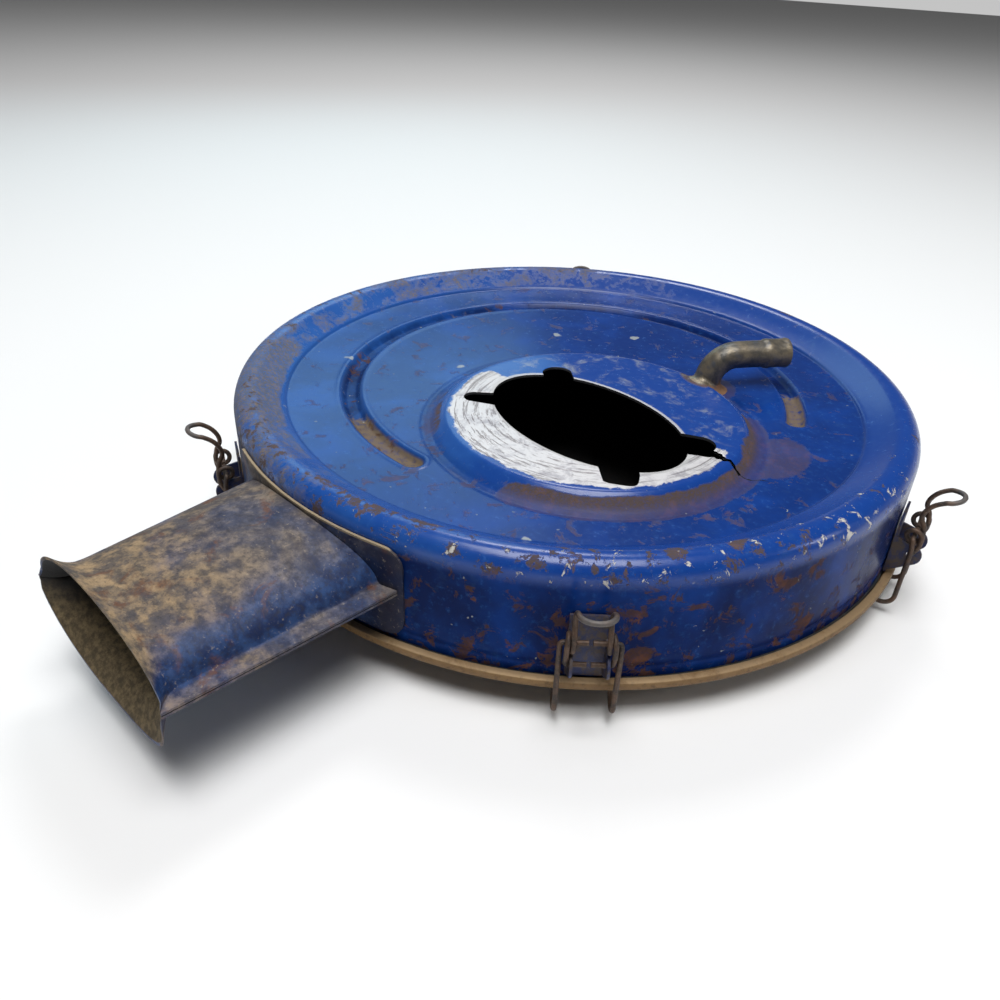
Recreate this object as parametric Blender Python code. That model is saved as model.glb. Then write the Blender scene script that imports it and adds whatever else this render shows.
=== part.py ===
"""Round engine air cleaner housing, resting upside down on its cover.

Lengths are in millimetres until new_object turns them into metres.
The canister axis is Z, the cover rests on z = 0 and the intake snorkel points along -Y.
"""

import math

import bmesh
import bpy
import numpy as np

MM = 0.001
CLEARANCE = 0.3

# Canister pressing
WALL_RADIUS = 160.0
WALL_FOOT_Z = 16.2
SHEET = 1.2
RIM_ROLL_RADIUS = 7.4
RIM_TOP_Z = 66.0
DISC_Z = 57.1
CREASE_RADIUS = 137.2

# Stiffening groove in the disc
GROOVE_INNER = 103.0
GROOVE_OUTER = 111.6
GROOVE_DEPTH = 3.0
GROOVE_START = 26.1
GROOVE_END = 273.2

# Raised carburettor seat and its oval opening
COLLAR_CENTRE = (34.5, -25.2)
COLLAR_BASE_RADIUS = 73.0
COLLAR_SEAT_RADIUS = 66.1
COLLAR_SEAT_Z = 63.1
OPENING_CENTRE = (36.2, -33.0)
OPENING_ANGLE = -5.8
OPENING_HALF_LENGTH = 51.5
OPENING_HALF_WIDTH = 32.5
STUD_OFFSET = (43.6, 23.4)
STUD_LOBE_RADII = {(-1, -1): 5.8, (-1, 1): 7.2, (1, -1): 7.4, (1, 1): 7.2}
TEAR_LENGTH = 19.2

# Intake snorkel
SEAM_Z = 40.0
SNORKEL_SHEET = 1.0
FLANGE_HALF_AT_WALL = 51.2
FLANGE_HALF_AT_MOUTH = 48.4
FLANGE_WIDTH = 8.0
FAR_FLANGE_WIDTH = 3.0
FAR_TAPER = 5.0
NECK_DROP = 1.2
MOUTH_REACH = 241.6
SNORKEL_ROOT_RADIUS = 161.7
ARCH_TOP_Z = 57.0
ARCH_BOTTOM_Z = 24.0
UPPER_LIP_Z = 61.5
LOWER_LIP_Z = 16.5
SADDLE_INNER = 160.3
SADDLE_OUTER = 161.3
SADDLE_HALF_ANGLE = 19.2
SADDLE_BOTTOM_Z = 18.5
SADDLE_TOP_Z = 58.3
SADDLE_CORNER = 8.0

# Breather tube
TUBE_FOOT = (47.5, 47.0)
TUBE_HEADING = 55.5
TUBE_RADIUS = 6.5
TUBE_BORE_RADIUS = 5.4
TUBE_BEAD_RADIUS = 7.25
TUBE_BEAD_LENGTH = 12.0
TUBE_BEND_RADIUS = 13.0
TUBE_AXIS_Z = 74.0
TUBE_FOOT_Z = 51.0
TUBE_REACH = 39.0

# Cover, its gasket and the filter element
COVER_SKIRT_OUTER = 164.7
COVER_SKIRT_INNER = 161.2
COVER_RING_Z = 12.9
COVER_SKIRT_TOP_Z = 17.2
COVER_SHEET = 1.0
COVER_STEP_RADIUS = 112.0
COVER_PLATEAU_RADIUS = 98.0
ELEMENT_INNER = 117.0
ELEMENT_OUTER = 147.0
ELEMENT_BOTTOM_Z = 14.2
ELEMENT_TOP_Z = 55.6
SEAL_HEIGHT = 4.8
PLEATS = 66

# Over-centre wire latches: azimuth of each
LATCHES = {"front": -46.5, "right": 11.5, "left": -115.0, "back": 128.5}
WIRE_RADIUS = 1.0
LEVER_PIVOT = (168.0, 29.5)
HOOK_PIVOT = (167.5, 39.0)
EYE_RADIUS = 3.0
EAR_INNER = 6.0
EAR_OUTER = 7.0
EAR_LOBE_RADIUS = 4.8

COLOURS = {
    "housing_paint": ((0.055, 0.16, 0.42), 0.0, 0.45),
    "snorkel_paint": ((0.10, 0.15, 0.27), 0.0, 0.5),
    "cover_metal": ((0.42, 0.31, 0.14), 0.6, 0.5),
    "tube_steel": ((0.21, 0.19, 0.18), 0.4, 0.55),
    "bracket_steel": ((0.06, 0.08, 0.12), 0.4, 0.5),
    "latch_wire": ((0.10, 0.07, 0.055), 0.6, 0.55),
    "gasket_rubber": ((0.02, 0.02, 0.02), 0.0, 0.8),
    "seal_rubber": ((0.05, 0.05, 0.055), 0.0, 0.75),
    "filter_paper": ((0.52, 0.42, 0.26), 0.0, 0.95),
    "screen_steel": ((0.25, 0.25, 0.25), 0.8, 0.5),
}


def clear_scene():
    for obj in list(bpy.data.objects):
        bpy.data.objects.remove(obj, do_unlink=True)


def make_material(slot):
    colour, metallic, roughness = COLOURS[slot]
    material = bpy.data.materials.new(slot)
    material.use_nodes = True
    shader = material.node_tree.nodes["Principled BSDF"]
    shader.inputs["Base Color"].default_value = (*colour, 1.0)
    shader.inputs["Metallic"].default_value = metallic
    shader.inputs["Roughness"].default_value = roughness
    material.diffuse_color = (*colour, 1.0)
    return material


def shade(mesh):
    mesh.polygons.foreach_set("use_smooth", [True] * len(mesh.polygons))
    mesh.set_sharp_from_angle(angle=math.radians(38))


def new_object(name, points, faces, slot=None):
    """A mesh object from millimetre points, with its faces turned outwards."""
    mesh = bpy.data.meshes.new(name)
    metres = [(float(x) * MM, float(y) * MM, float(z) * MM) for x, y, z in points]
    mesh.from_pydata(metres, [], faces)
    shape = bmesh.new()
    shape.from_mesh(mesh)
    bmesh.ops.recalc_face_normals(shape, faces=shape.faces)
    shape.to_mesh(mesh)
    shape.free()
    shade(mesh)
    if slot:
        mesh.materials.append(MATERIALS[slot])
    obj = bpy.data.objects.new(name, mesh)
    bpy.context.scene.collection.objects.link(obj)
    return obj


def loft(name, rings, slot=None, closed=False):
    """Joins equal rings of points, end to end or with flat caps."""
    count = len(rings[0])
    points = [point for ring in rings for point in ring]
    faces = []
    for i in range(len(rings) if closed else len(rings) - 1):
        here = i * count
        there = ((i + 1) % len(rings)) * count
        for j in range(count):
            k = (j + 1) % count
            faces.append((here + j, here + k, there + k, there + j))
    if not closed:
        faces.append(tuple(range(count)))
        last = (len(rings) - 1) * count
        faces.append(tuple(range(last, last + count)))
    return new_object(name, points, faces, slot)


def revolve(name, profile, slot=None, segments=64, centre=(0.0, 0.0)):
    """A closed (radius, z) loop turned about the vertical line through centre."""
    rings = []
    for i in range(segments):
        angle = 2 * math.pi * i / segments
        across = math.cos(angle)
        along = math.sin(angle)
        rings.append([(centre[0] + r * across, centre[1] + r * along, z) for r, z in profile])
    return loft(name, rings, slot, closed=True)


def prism(name, outline, low, high, axis="z", slot=None):
    """An outline of (a, b) points drawn out along one axis, the other two taken in order."""
    place = {
        "z": lambda a, b, c: (a, b, c),
        "y": lambda a, b, c: (a, c, b),
        "x": lambda a, b, c: (c, a, b),
    }[axis]
    rings = [[place(a, b, c) for a, b in outline] for c in (low, high)]
    return loft(name, rings, slot)


def sheet(name, outer, inner, slot):
    """A thin curved plate between two equal grids of points."""
    rows = len(outer)
    columns = len(outer[0])
    points = [p for row in outer for p in row] + [p for row in inner for p in row]
    shift = rows * columns
    faces = []
    for i in range(rows - 1):
        for j in range(columns - 1):
            a = i * columns + j
            quad = (a, a + 1, a + columns + 1, a + columns)
            faces.append(quad)
            faces.append(tuple(shift + v for v in quad))
    for i in range(rows - 1):
        for j in (0, columns - 1):
            a = i * columns + j
            faces.append((a, a + columns, shift + a + columns, shift + a))
    for j in range(columns - 1):
        for i in (0, rows - 1):
            a = i * columns + j
            faces.append((a, a + 1, shift + a + 1, shift + a))
    return new_object(name, points, faces, slot)


def tube_frames(path):
    """A pair of cross directions at each path point, carried along without twist."""
    path = np.asarray(path, float)
    tangents = np.gradient(path, axis=0)
    tangents[0] = path[1] - path[0]
    tangents[-1] = path[-1] - path[-2]
    for i in range(1, len(path) - 1):
        before = path[i] - path[i - 1]
        after = path[i + 1] - path[i]
        tangents[i] = before / np.linalg.norm(before) + after / np.linalg.norm(after)
    tangents /= np.linalg.norm(tangents, axis=1)[:, None]
    start = np.cross(tangents[0], (0.3, 0.2, 0.9))
    side = start / np.linalg.norm(start)
    frames = []
    for tangent in tangents:
        side = side - tangent * np.dot(side, tangent)
        side = side / np.linalg.norm(side)
        frames.append((side, np.cross(tangent, side)))
    return path, frames


def tube_rings(path, radii, sides):
    points, frames = tube_frames(path)
    rings = []
    for point, (side, up), radius in zip(points, frames, radii):
        ring = []
        for j in range(sides):
            turn = 2 * math.pi * j / sides
            ring.append(tuple(point + radius * (math.cos(turn) * side + math.sin(turn) * up)))
        rings.append(ring)
    return rings


def rounded(points, radius, steps=3):
    """A polyline with each inner corner replaced by a short arc-like curve."""
    points = [np.asarray(p, float) for p in points]
    path = [points[0]]
    for before, corner, after in zip(points, points[1:], points[2:]):
        back = before - corner
        ahead = after - corner
        reach = min(radius, 0.45 * np.linalg.norm(back), 0.45 * np.linalg.norm(ahead))
        start = corner + back / np.linalg.norm(back) * reach
        end = corner + ahead / np.linalg.norm(ahead) * reach
        for i in range(steps + 1):
            u = i / steps
            path.append((1 - u) ** 2 * start + 2 * u * (1 - u) * corner + u * u * end)
    path.append(points[-1])
    return path


def arc(centre, radius, start, end, steps):
    """Points on a plane arc, with the angles in degrees."""
    points = []
    for i in range(steps + 1):
        angle = math.radians(start + (end - start) * i / steps)
        points.append((centre[0] + radius * math.cos(angle), centre[1] + radius * math.sin(angle)))
    return points


def combine(obj, other, operation):
    """Applies one exact Boolean and removes the other object."""
    modifier = obj.modifiers.new(operation.lower(), "BOOLEAN")
    modifier.operation = operation
    modifier.solver = "EXACT"
    modifier.object = other
    graph = bpy.context.evaluated_depsgraph_get()
    mesh = bpy.data.meshes.new_from_object(obj.evaluated_get(graph))
    mesh.name = obj.name
    obj.modifiers.clear()
    obj.data = mesh
    bpy.data.objects.remove(other, do_unlink=True)
    shade(mesh)


def cut(obj, cutter):
    combine(obj, cutter, "DIFFERENCE")


def join(obj, other):
    combine(obj, other, "UNION")


def band_outline(inner, outer, start, end, steps):
    """A curved slot with round ends, as seen from above."""
    middle = (inner + outer) / 2
    half = (outer - inner) / 2
    outline = arc((0, 0), outer, start, end, steps)
    tip = (middle * math.cos(math.radians(end)), middle * math.sin(math.radians(end)))
    outline += arc(tip, half, end, end + 180, 6)[1:-1]
    outline += arc((0, 0), inner, end, start, steps)
    tip = (middle * math.cos(math.radians(start)), middle * math.sin(math.radians(start)))
    outline += arc(tip, half, start + 180, start + 360, 6)[1:-1]
    return outline


def from_opening(x, y):
    """A point given along the opening's own axes, in the housing's plan."""
    c = math.cos(math.radians(OPENING_ANGLE))
    s = math.sin(math.radians(OPENING_ANGLE))
    return (OPENING_CENTRE[0] + x * c - y * s, OPENING_CENTRE[1] + x * s + y * c)


def opening_outline(samples=88):
    """The oval with a round lobe at each carburettor stud."""
    outline = []
    for i in range(samples):
        angle = 2 * math.pi * i / samples
        c = math.cos(angle)
        s = math.sin(angle)
        reach = 1 / math.hypot(c / OPENING_HALF_LENGTH, s / OPENING_HALF_WIDTH)
        for (side, end), radius in STUD_LOBE_RADII.items():
            stud = (side * STUD_OFFSET[0], end * STUD_OFFSET[1])
            along = stud[0] * c + stud[1] * s
            across = stud[0] * s - stud[1] * c
            if along > 0 and abs(across) < radius:
                reach = max(reach, along + math.sqrt(radius * radius - across * across))
        outline.append(from_opening(reach * c, reach * s))
    return outline


def tear_outline(steps=8):
    """The torn notch: a strip that narrows as it wanders out from one stud lobe."""
    upper = []
    lower = []
    for i in range(steps + 1):
        u = i / steps
        x = 48.0 + TEAR_LENGTH * u
        y = 18.0 + 4.9 * math.sqrt(u)
        half = 0.9 + 5.8 * (1 - u) ** 2.2
        if i == 0:
            x = 43.0
        upper.append(from_opening(x, y + half))
        lower.append(from_opening(x, y - half))
    return lower + upper[::-1]


def duct_outline(half, top, bottom, steps=7):
    """The duct's inside section in (x, z), an oval that is flatter below the seam."""
    outline = []
    for start, peak in ((0, top), (180, bottom)):
        for i in range(2 * steps):
            angle = math.radians(start + 180 * i / (2 * steps))
            outline.append((half * math.cos(angle), SEAM_Z + (peak - SEAM_Z) * abs(math.sin(angle))))
    return outline


def build_canister():
    roll = (WALL_RADIUS - RIM_ROLL_RADIUS, RIM_TOP_Z - RIM_ROLL_RADIUS)
    to_crease = math.atan2(DISC_Z - roll[1], CREASE_RADIUS - roll[0])
    reach = math.hypot(DISC_Z - roll[1], CREASE_RADIUS - roll[0])
    leave = math.degrees(to_crease) % 360 - math.degrees(math.acos(RIM_ROLL_RADIUS / reach))
    outside = [(WALL_RADIUS, WALL_FOOT_Z)]
    outside += arc(roll, RIM_ROLL_RADIUS, 0, leave, 8)
    outside += [(CREASE_RADIUS, DISC_Z), (8.0, DISC_Z)]
    inside = [(8.0, DISC_Z - SHEET), (CREASE_RADIUS + 0.4, DISC_Z - SHEET)]
    inside += arc(roll, RIM_ROLL_RADIUS - SHEET, leave, 0, 6)
    inside += [(WALL_RADIUS - SHEET, WALL_FOOT_Z)]
    canister = revolve("canister_shell", outside + inside, "housing_paint", 72)

    plug = prism("plug", arc(COLLAR_CENTRE, COLLAR_BASE_RADIUS - 0.1, 0, 350, 35), 50, 60)
    cut(canister, plug)
    collar = revolve(
        "collar",
        [
            (COLLAR_BASE_RADIUS + 0.9, DISC_Z - 0.6),
            (COLLAR_SEAT_RADIUS + 0.9, COLLAR_SEAT_Z - 0.5),
            (COLLAR_SEAT_RADIUS - 0.3, COLLAR_SEAT_Z),
            (10.0, COLLAR_SEAT_Z),
            (10.0, COLLAR_SEAT_Z - SHEET),
            (COLLAR_SEAT_RADIUS - 0.7, COLLAR_SEAT_Z - SHEET),
            (COLLAR_BASE_RADIUS - 1.0, DISC_Z - 0.7),
        ],
        None,
        56,
        COLLAR_CENTRE,
    )
    join(canister, collar)

    ridge = band_outline(GROOVE_INNER - SHEET, GROOVE_OUTER + SHEET, GROOVE_START, GROOVE_END, 40)
    join(canister, prism("ridge", ridge, DISC_Z - GROOVE_DEPTH - SHEET, DISC_Z - 0.5))
    groove = band_outline(GROOVE_INNER, GROOVE_OUTER, GROOVE_START, GROOVE_END, 40)
    cut(canister, prism("groove", groove, DISC_Z - GROOVE_DEPTH, DISC_Z + 2))

    cut(canister, prism("opening", opening_outline(), 50, 70))
    cut(canister, prism("tear", tear_outline(), 50, 70))
    tube_hole = arc(TUBE_FOOT, TUBE_RADIUS + CLEARANCE, 0, 345, 23)
    cut(canister, prism("tube_hole", tube_hole, 50, 70))
    cut(canister, prism("inlet", duct_outline(40.5, 54.0, 27.0), -175, -140, "y"))
    canister.data.materials.clear()
    canister.data.materials.append(MATERIALS["housing_paint"])
    return canister


def shell_grids(upper):
    """Outer and inner grids of one snorkel half, from the wall to the flared mouth."""
    way = 1 if upper else -1
    peak = (ARCH_TOP_Z if upper else ARCH_BOTTOM_Z) - SEAM_Z
    lip = (UPPER_LIP_Z if upper else LOWER_LIP_Z) - SEAM_Z
    reach = MOUTH_REACH - 1.2 if upper else MOUTH_REACH + 0.6
    flange = way * CLEARANCE / 2
    outer = []
    inner = []
    for f in (0.0, 0.3, 0.6, 0.84, 0.9, 0.95, 0.98, 1.0):
        flare = max(0.0, (f - 0.84) / 0.16) ** 1.8
        half = FLANGE_HALF_AT_WALL + (FLANGE_HALF_AT_MOUTH - FLANGE_HALF_AT_WALL) * f
        spread = max(0.0, (f - 0.88) / 0.12) ** 2
        taper = min(1.0, f / 0.84) * (1 - spread)
        far_half = half - FLANGE_WIDTH + FAR_FLANGE_WIDTH - FAR_TAPER * taper
        near = half - FLANGE_WIDTH + (FLANGE_WIDTH - 0.6) * spread
        far = far_half - FAR_FLANGE_WIDTH + (FAR_FLANGE_WIDTH - 0.6) * spread
        height = peak - way * NECK_DROP * taper + (lip - peak) * flare
        corner = 1.0 if upper else 1.0 - 0.42 * spread
        for grid, thick in ((outer, SNORKEL_SHEET), (inner, 0.0)):
            base = flange + way * thick
            row = [(-far_half, base)]
            for i in range(15):
                angle = math.pi * (1 - i / 14)
                c = math.cos(angle)
                side, power = (near, corner) if c > 0 else (far, 1.0)
                x = (side - (SNORKEL_SHEET - thick)) * math.copysign(abs(c) ** power, c)
                rise = height - way * (SNORKEL_SHEET - thick) - base
                row.append((x, base + rise * max(0.0, math.sin(angle)) ** power))
            row.append((half, base))
            placed = []
            for x, z in row:
                root = -math.sqrt(SNORKEL_ROOT_RADIUS**2 - x * x)
                edge = 1.0 if abs(z) > abs(base) + 0.01 else 0.0
                mouth = -(MOUTH_REACH + (reach - MOUTH_REACH) * edge * flare)
                placed.append((x, root + (mouth - root) * f, SEAM_Z + z))
            grid.append(placed)
    return outer, inner


def build_snorkel():
    sheet("snorkel_upper_shell", *shell_grids(True), "snorkel_paint")
    sheet("snorkel_lower_shell", *shell_grids(False), "snorkel_paint")
    outer = []
    inner = []
    steps = 20
    for i in range(steps + 1):
        offset = -math.cos(math.pi * i / steps)
        angle = math.radians(-90 + SADDLE_HALF_ANGLE * offset)
        from_end = math.radians(SADDLE_HALF_ANGLE) * SADDLE_OUTER * (1 - abs(offset))
        short = max(0.0, SADDLE_CORNER - from_end)
        drop = SADDLE_CORNER - math.sqrt(SADDLE_CORNER**2 - short**2)
        drop = min(drop, SADDLE_CORNER - 0.4)
        c = math.cos(angle)
        s = math.sin(angle)
        heights = (SADDLE_BOTTOM_Z + drop, SEAM_Z, SADDLE_TOP_Z - drop)
        outer.append([(SADDLE_OUTER * c, SADDLE_OUTER * s, z) for z in heights])
        inner.append([(SADDLE_INNER * c, SADDLE_INNER * s, z) for z in heights])
    saddle = sheet("snorkel_saddle_plate", outer, inner, "snorkel_paint")
    cut(saddle, prism("duct", duct_outline(41.2, 54.4, 26.6), -175, -140, "y"))


def build_breather():
    turn = math.radians(TUBE_HEADING)
    run = [(0.0, TUBE_FOOT_Z)]
    bend = arc((TUBE_BEND_RADIUS, TUBE_AXIS_Z - TUBE_BEND_RADIUS), TUBE_BEND_RADIUS, 180, 90, 7)
    run += bend
    bead = TUBE_REACH - TUBE_BEAD_LENGTH
    run += [(bead - 0.8, TUBE_AXIS_Z), (bead, TUBE_AXIS_Z)]
    run += [(TUBE_REACH - 1.0, TUBE_AXIS_Z), (TUBE_REACH, TUBE_AXIS_Z)]
    path = []
    for along, z in run:
        x = TUBE_FOOT[0] + along * math.cos(turn)
        y = TUBE_FOOT[1] + along * math.sin(turn)
        path.append((x, y, z))
    radii = [TUBE_RADIUS] * (len(path) - 3) + [TUBE_BEAD_RADIUS] * 2 + [TUBE_BEAD_RADIUS - 0.7]
    skin = tube_rings(path, radii, 18)
    bore = tube_rings(path, [TUBE_BORE_RADIUS] * len(path), 18)
    loft("breather_tube", skin + bore[::-1], "tube_steel", closed=True)


def build_cover():
    inner = COVER_SKIRT_INNER
    outer = COVER_SKIRT_OUTER
    ring = COVER_RING_Z
    top = ring + COVER_SHEET
    profile = [(inner, COVER_SKIRT_TOP_Z - 0.6), (inner + 0.6, COVER_SKIRT_TOP_Z)]
    profile += [(outer - 0.7, COVER_SKIRT_TOP_Z), (outer, COVER_SKIRT_TOP_Z - 0.8)]
    profile += arc((outer - 2.0, ring + 2.0), 2.0, 0, -90, 3)
    profile += [(COVER_STEP_RADIUS, ring), (COVER_PLATEAU_RADIUS, 0.0), (0.0, 0.0)]
    profile += [(0.0, COVER_SHEET), (COVER_PLATEAU_RADIUS - 0.3, COVER_SHEET)]
    profile += [(COVER_STEP_RADIUS - 0.3, top), (inner, top)]
    segments = 72
    points = []
    faces = []
    rim = [p for p in profile if p[0] > 0]
    for i in range(segments):
        angle = 2 * math.pi * i / segments
        points += [(r * math.cos(angle), r * math.sin(angle), z) for r, z in rim]
    count = len(rim)
    gap = profile.index((0.0, 0.0)) - 1
    middle = len(points)
    points += [(0.0, 0.0, 0.0), (0.0, 0.0, COVER_SHEET)]
    for i in range(segments):
        here = i * count
        there = (i + 1) % segments * count
        for j in range(count):
            if j == gap:
                faces.append((here + j, there + j, middle))
                faces.append((here + j + 1, there + j + 1, middle + 1))
                continue
            k = (j + 1) % count
            faces.append((here + j, here + k, there + k, there + j))
    new_object("cover_lid", points, faces, "cover_metal")


def block(inner, outer, low, high):
    return [(inner, low), (outer, low), (outer, high), (inner, high)]


def build_element():
    revolve("cover_gasket", block(156.5, 160.9, 14.2, 15.9), "gasket_rubber", 56)
    low = ELEMENT_BOTTOM_Z + SEAL_HEIGHT
    high = ELEMENT_TOP_Z - SEAL_HEIGHT
    ring = [(ELEMENT_INNER, ELEMENT_BOTTOM_Z + 1), (ELEMENT_INNER + 1, ELEMENT_BOTTOM_Z)]
    ring += [(ELEMENT_OUTER - 1, ELEMENT_BOTTOM_Z), (ELEMENT_OUTER, ELEMENT_BOTTOM_Z + 1)]
    ring += [(ELEMENT_OUTER, low), (ELEMENT_INNER, low)]
    revolve("element_bottom_seal", ring, "seal_rubber", 56)
    middle = (ELEMENT_BOTTOM_Z + ELEMENT_TOP_Z) / 2
    turned = [(r, 2 * middle - z) for r, z in ring]
    revolve("element_top_seal", turned, "seal_rubber", 56)
    low += CLEARANCE
    high -= CLEARANCE
    inner = ELEMENT_INNER + 0.6
    outer = ELEMENT_OUTER - 0.6
    revolve("element_inner_screen", block(inner, inner + 0.8, low, high), "screen_steel", 56)
    revolve("element_outer_screen", block(outer - 0.8, outer, low, high), "screen_steel", 56)
    rings = []
    for i in range(2 * PLEATS):
        angle = math.pi * i / PLEATS
        r = inner + 2.2 if i % 2 else outer - 4.6
        section = block(r, r + 2.2, low, high)
        rings.append([(a * math.cos(angle), a * math.sin(angle), z) for a, z in section])
    loft("element_pleated_paper", rings, "filter_paper", closed=True)


def on_pivot(points, pivot):
    return [(r - pivot[0], t, z - pivot[1]) for r, t, z in points]


def lever_path():
    """The lever wire from one in-turned end, round its eye, to the middle of the tip."""
    half = rounded(
        [(LEVER_PIVOT[0], 0.8, LEVER_PIVOT[1]), (LEVER_PIVOT[0], 8.3, LEVER_PIVOT[1]),
         (170.5, 8.3, 35.0), (170.5, 8.3, HOOK_PIVOT[1])], 1.6, 2)
    turns = 11
    for i in range(1, turns + 1):
        angle = 2 * math.pi * i / turns
        r = HOOK_PIVOT[0] + EYE_RADIUS * math.cos(angle)
        z = HOOK_PIVOT[1] + EYE_RADIUS * math.sin(angle)
        half.append(np.array((r, 8.3 - 2.2 * i / turns, z)))
    half += [np.array(p) for p in ((169.5, 6.1, 44.0), (167.7, 6.1, 47.5), (168.2, 6.1, 51.0),
                                   (170.5, 6.1, 54.5))]
    for i in range(5):
        angle = math.radians(90 - 90 * i / 4)
        r = 174.0 + 6.0 * math.cos(angle)
        half.append(np.array((r, 6.1 * math.sin(angle), 57.0 + 0.25 * (r - 174.0))))
    return half


def hook_path():
    """The bail wire from one in-turned end down to the middle of the crossbar."""
    drop = [(HOOK_PIVOT[0], 0.8, HOOK_PIVOT[1]), (HOOK_PIVOT[0], 10.6, HOOK_PIVOT[1]),
            (168.4, 10.6, 34.0), (168.4, 10.6, 10.0)]
    half = rounded(drop, 1.4, 2)[:-1]
    for r, z in arc((163.4, 10.0), 5.0, 0, -180, 7):
        half.append(np.array((r, 10.6, z)))
    corner = rounded([(158.4, 10.6, 10.0), (158.4, 10.6, 11.6), (158.4, 0.0, 11.6)], 0.7, 2)
    return half + corner[1:]


def mirrored(half):
    """The whole wire from its first half, which ends on the plane t = 0."""
    other = [p * np.array((1, -1, 1)) for p in half[-2::-1]]
    return list(half) + other


def wire(name, path, slot, pivot, azimuth):
    rings = tube_rings(on_pivot(path, pivot), [WIRE_RADIUS] * len(path), 6)
    obj = loft(name, rings, slot)
    turn = math.radians(azimuth)
    obj.location = (pivot[0] * math.cos(turn) * MM, pivot[0] * math.sin(turn) * MM, pivot[1] * MM)
    obj.rotation_euler = (0.0, 0.0, turn)
    return obj


def ear_outline():
    lower = (161.0, 18.4)
    upper = (161.0, 36.0)
    outline = [upper, lower]
    return outline + arc(LEVER_PIVOT, EAR_LOBE_RADIUS, -48, 72, 7)


def build_bracket(name, azimuth):
    plate = prism(name, [(160.5, 18.2), (161.5, 18.2), (161.5, 46.0), (160.5, 46.0)], -7.4, 7.4,
                  "y", "bracket_steel")
    for side in (-1, 1):
        near = side * EAR_INNER
        far = side * EAR_OUTER
        join(plate, prism("ear", ear_outline(), min(near, far), max(near, far), "y"))
    hole = arc(LEVER_PIVOT, WIRE_RADIUS + CLEARANCE, 0, 330, 11)
    cut(plate, prism("hole", hole, -12, 12, "y"))
    plate.data.materials.clear()
    plate.data.materials.append(MATERIALS["bracket_steel"])
    plate.rotation_euler = (0.0, 0.0, math.radians(azimuth))
    return plate


def build_latch(name, azimuth):
    build_bracket(f"latch_{name}_bracket", azimuth)
    wire(f"latch_{name}_lever", mirrored(lever_path()), "latch_wire", LEVER_PIVOT, azimuth)
    wire(f"latch_{name}_hook", mirrored(hook_path()), "latch_wire", HOOK_PIVOT, azimuth)


clear_scene()
MATERIALS = {slot: make_material(slot) for slot in COLOURS}
build_canister()
build_snorkel()
build_breather()
build_cover()
build_element()
for latch, where in LATCHES.items():
    build_latch(latch, where)
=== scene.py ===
"""Looks of the round engine air cleaner housing: worn blue pressings, dirty snorkel, rusty wire latches."""

import math

import bmesh
import bpy
import numpy as np
from mathutils import Matrix, Vector


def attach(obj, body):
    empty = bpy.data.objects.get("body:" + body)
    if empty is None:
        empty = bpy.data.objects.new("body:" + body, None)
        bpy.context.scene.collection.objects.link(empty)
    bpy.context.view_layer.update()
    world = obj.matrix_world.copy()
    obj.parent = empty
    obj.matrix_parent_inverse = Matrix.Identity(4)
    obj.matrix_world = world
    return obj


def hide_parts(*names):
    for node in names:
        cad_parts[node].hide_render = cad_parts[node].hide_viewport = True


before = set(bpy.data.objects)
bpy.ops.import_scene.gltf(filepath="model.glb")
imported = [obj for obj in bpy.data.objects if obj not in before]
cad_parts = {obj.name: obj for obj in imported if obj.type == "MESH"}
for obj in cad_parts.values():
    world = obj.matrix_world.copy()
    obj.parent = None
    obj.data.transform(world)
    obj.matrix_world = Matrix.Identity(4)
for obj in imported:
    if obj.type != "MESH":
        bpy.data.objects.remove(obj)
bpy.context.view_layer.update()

MM = 0.001

# Edges bent by more degrees than this are drawn sharp
SHARP_ANGLE = 38
CANISTER_SHARP_ANGLE = 50

# Canister pressing
WALL_RADIUS = 160.0
WALL_FOOT_Z = 16.2
SHEET = 1.2
RIM_ROLL_RADIUS = 7.4
RIM_TOP_Z = 66.0
DISC_Z = 57.1
CREASE_RADIUS = 137.2
GROOVE_RADIUS = 107.3
GROOVE_HALF_WIDTH = 4.5
GROOVE_DEPTH = 3.0
GROOVE_START = 26.1
GROOVE_END = 273.2
COLLAR_CENTRE = (34.5, -25.2)
COLLAR_BASE_RADIUS = 73.0
COLLAR_SEAT_RADIUS = 66.1
COLLAR_HEIGHT = 6.0
OPENING_CENTRE = (36.2, -33.0)
OPENING_ANGLE = -5.8
OPENING_HALF_LENGTH = 51.5
OPENING_HALF_WIDTH = 32.5
ROUND_NOTCHES = (((-42.6, 22.4), 7.3), ((45.0, 23.0), 7.1))
SLOT_START = (-36.5, -16.5)
SLOT_RUN = (-9.0, -10.0)
SLOT_RADIUS = 5.1
SQUARE_NOTCH = (43.4, -23.2)
SQUARE_NOTCH_HALF = (7.4, 6.6)
SQUARE_NOTCH_HEADING = (0.80, 0.60)
TEAR_LENGTH = 19.2
TEAR_START = (48.0, 18.0)
TEAR_ROOT_X = 43.0
TEAR_RISE = 4.9
TEAR_HALF_WIDTH = 6.0
TEAR_END_HALF_WIDTH = 0.7
HAIRLINE = ((66.6, 22.6), (76.0, 31.6))
INLET_CENTRE_Z = 40.5
INLET_HALF = (41.5, 14.5)
SECTORS = 720
SMOOTH_OVAL = (66.0, 44.0)
SEAT_RINGS = 22
DISC_RINGS = 112

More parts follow.
